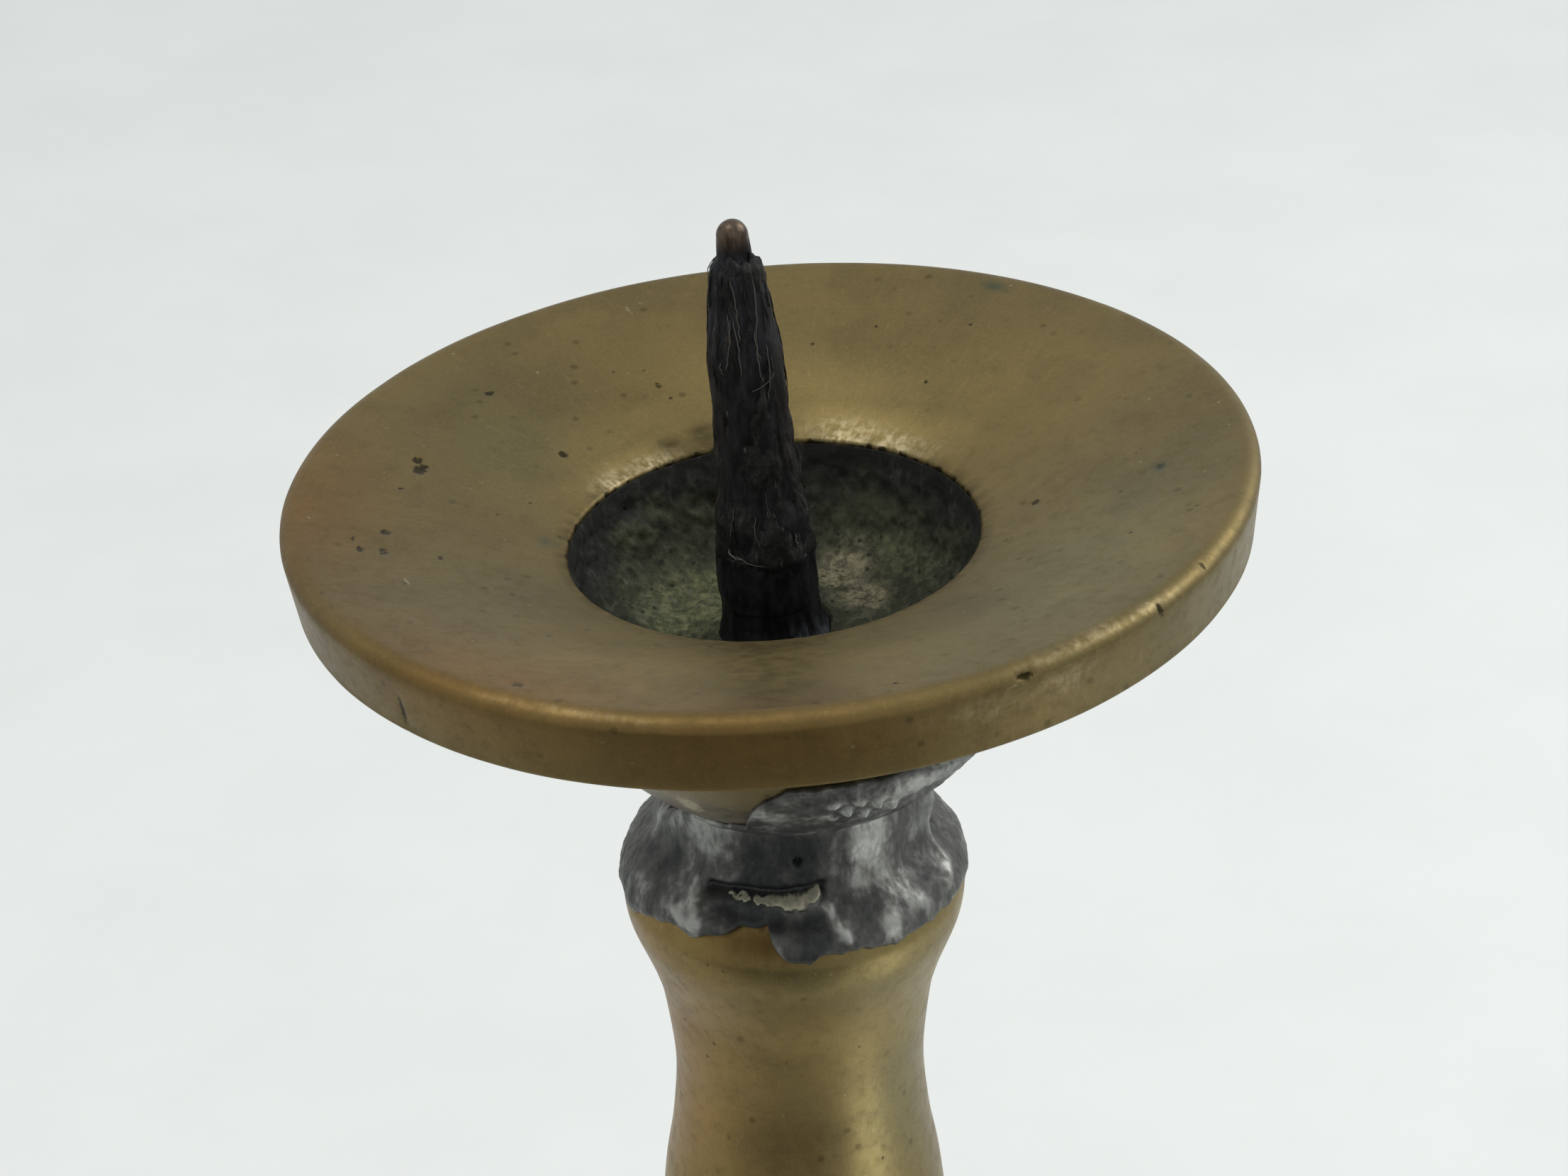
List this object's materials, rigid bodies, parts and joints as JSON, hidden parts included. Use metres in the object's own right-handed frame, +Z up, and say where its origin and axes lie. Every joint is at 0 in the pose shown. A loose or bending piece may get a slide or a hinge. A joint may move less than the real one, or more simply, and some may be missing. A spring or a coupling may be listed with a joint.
{
  "type": "altar candlestick",
  "caption": "Turned brass altar pricket candlestick with a leaning drip pan soldered to its knopped stem, on a round domed base with bun feet.",
  "frame": {"origin": "on the floor, at the centre of the circle of three feet, on the stem's axis", "axes": "+Z up along the stem; the front of the picture faces -Y, and the pan leans towards -X"},
  "size_m": [0.12, 0.12, 0.2842],
  "materials": {
    "brass": "satin, dull olive-gold patina with bright worn edges, green in the cup",
    "pricket_iron": "black fibrous crust with a bare brown tip",
    "wrought_iron": "dark forged iron, lightly rusted",
    "solder": "dull grey lead-tin solder, poured and roughly wiped"
  },
  "bodies": {
    "root": {"base_ring": "brass", "base_dome": "brass", "base_collar": "brass", "lower_stem": "brass", "lower_collar": "brass", "middle_knop": "brass", "upper_collar": "brass", "upper_stem": "brass", "tie_rod": "wrought_iron", "clamp_washer": "wrought_iron", "clamp_nut": "wrought_iron", "foot_1": "brass", "foot_2": "brass", "foot_3": "brass", "foot_stud_1": "wrought_iron", "foot_stud_2": "wrought_iron", "foot_stud_3": "wrought_iron", "drip_pan": "brass", "pricket": "pricket_iron", "pricket_collar": "pricket_iron", "solder_repair": "solder"}
  },
  "joints": []
}
